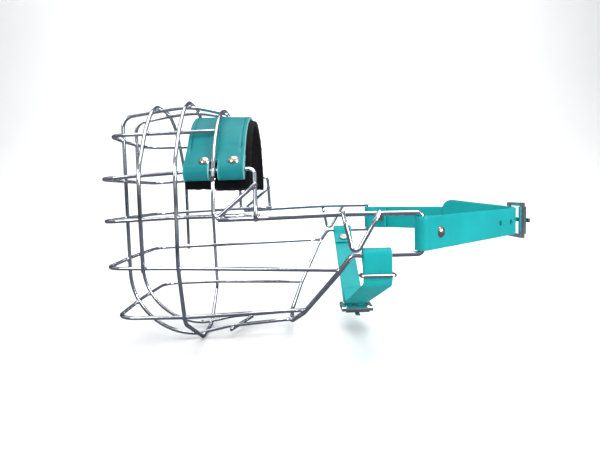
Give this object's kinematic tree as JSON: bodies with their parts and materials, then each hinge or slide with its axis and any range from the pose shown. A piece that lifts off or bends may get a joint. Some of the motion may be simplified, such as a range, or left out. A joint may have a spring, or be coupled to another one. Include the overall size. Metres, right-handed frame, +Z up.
{
  "type": "basket muzzle",
  "caption": "Welded chrome wire basket muzzle for a large dog, with a padded leather nose band, a buckled neck strap and a buckled throat strap.",
  "frame": {"origin": "centre of the object's base: bounding box bottom centre, on the mid plane of the basket", "axes": "+Z up, nose towards -X, straps towards +X, the dog's left side towards -Y"},
  "size_m": [0.2938, 0.1847, 0.1688],
  "materials": {
    "chrome_wire": "bright nickel-chrome plate over steel wire",
    "nickel": "satin nickel plate",
    "teal_leather": "smooth teal leather, semi-matt",
    "teal_strap": "coated teal strap, semi-gloss",
    "black_felt": "soft black felt"
  },
  "bodies": {
    "basket": {"hoop_1_nose": "chrome_wire", "hoop_2_cheek": "chrome_wire", "hoop_3_middle": "chrome_wire", "hoop_4_lower": "chrome_wire", "hoop_5_jaw": "chrome_wire", "centre_wire_left": "chrome_wire", "centre_wire_right": "chrome_wire", "arch_front": "chrome_wire", "arch_middle": "chrome_wire", "arch_rear": "chrome_wire", "rear_frame": "chrome_wire", "v_brace_left": "chrome_wire", "v_brace_right": "chrome_wire", "bottom_cross_wire": "chrome_wire", "nose_pad_leather": "teal_leather", "nose_pad_lining": "black_felt", "pad_rivet_caps": "nickel", "pad_rivet_posts": "nickel"},
    "neck_left": {"neck_strap_left": "teal_strap", "neck_rivet_left": "nickel"},
    "neck_right": {"neck_strap_right": "teal_strap", "neck_rivet_right": "nickel", "neck_buckle_frame": "chrome_wire"},
    "neck_prong": {"neck_buckle_prong": "chrome_wire"},
    "neck_roller": {"neck_buckle_roller": "chrome_wire"},
    "throat_left": {"throat_strap_left": "teal_strap"},
    "throat_slide": {"throat_slider": "chrome_wire"},
    "throat_right": {"throat_strap_right": "teal_strap", "throat_rivet_right": "nickel", "throat_buckle_frame": "chrome_wire"},
    "throat_prong": {"throat_buckle_prong": "chrome_wire"},
    "throat_roller": {"throat_buckle_roller": "chrome_wire"}
  },
  "joints": [
    {"name": "neck_left_swing", "type": "hinge", "parent": "basket", "child": "neck_left", "pos_m": [0.0461, -0.087, 0.079], "axis": [0, 0, -1], "range_deg": [0, 105]},
    {"name": "neck_right_swing", "type": "hinge", "parent": "basket", "child": "neck_right", "pos_m": [0.0461, 0.087, 0.079], "axis": [0, 0, 1], "range_deg": [0, 105]},
    {"name": "neck_prong_hinge", "type": "hinge", "parent": "neck_right", "child": "neck_prong", "pos_m": [0.14207, 0.011, 0.079], "axis": [0, 0, 1], "range_deg": [0, 95]},
    {"name": "neck_roller_spin", "type": "hinge", "parent": "neck_right", "child": "neck_roller", "pos_m": [0.14207, -0.009, 0.079], "axis": [0, 0, 1], "continuous": true},
    {"name": "throat_left_swing", "type": "hinge", "parent": "basket", "child": "throat_left", "pos_m": [0.0205, -0.087, 0.0676], "axis": [-1, 0, 0], "range_deg": [0, 75]},
    {"name": "throat_right_swing", "type": "hinge", "parent": "basket", "child": "throat_right", "pos_m": [0.0205, 0.087, 0.0676], "axis": [1, 0, 0], "range_deg": [0, 75]},
    {"name": "throat_slider_slide", "type": "slide", "parent": "throat_left", "child": "throat_slide", "axis": [0, 0, 1], "range_m": [0, 0.003]},
    {"name": "throat_prong_hinge", "type": "hinge", "parent": "throat_right", "child": "throat_prong", "pos_m": [0.0205, 0.009, 0.01635], "axis": [1, 0, 0], "range_deg": [0, 95]},
    {"name": "throat_roller_spin", "type": "hinge", "parent": "throat_right", "child": "throat_roller", "pos_m": [0.0205, -0.0075, 0.01635], "axis": [1, 0, 0], "continuous": true}
  ],
  "couplings": [
    {"joint": "neck_right_swing", "follows": "neck_left_swing", "ratio": 1},
    {"joint": "throat_right_swing", "follows": "throat_left_swing", "ratio": 1}
  ]
}
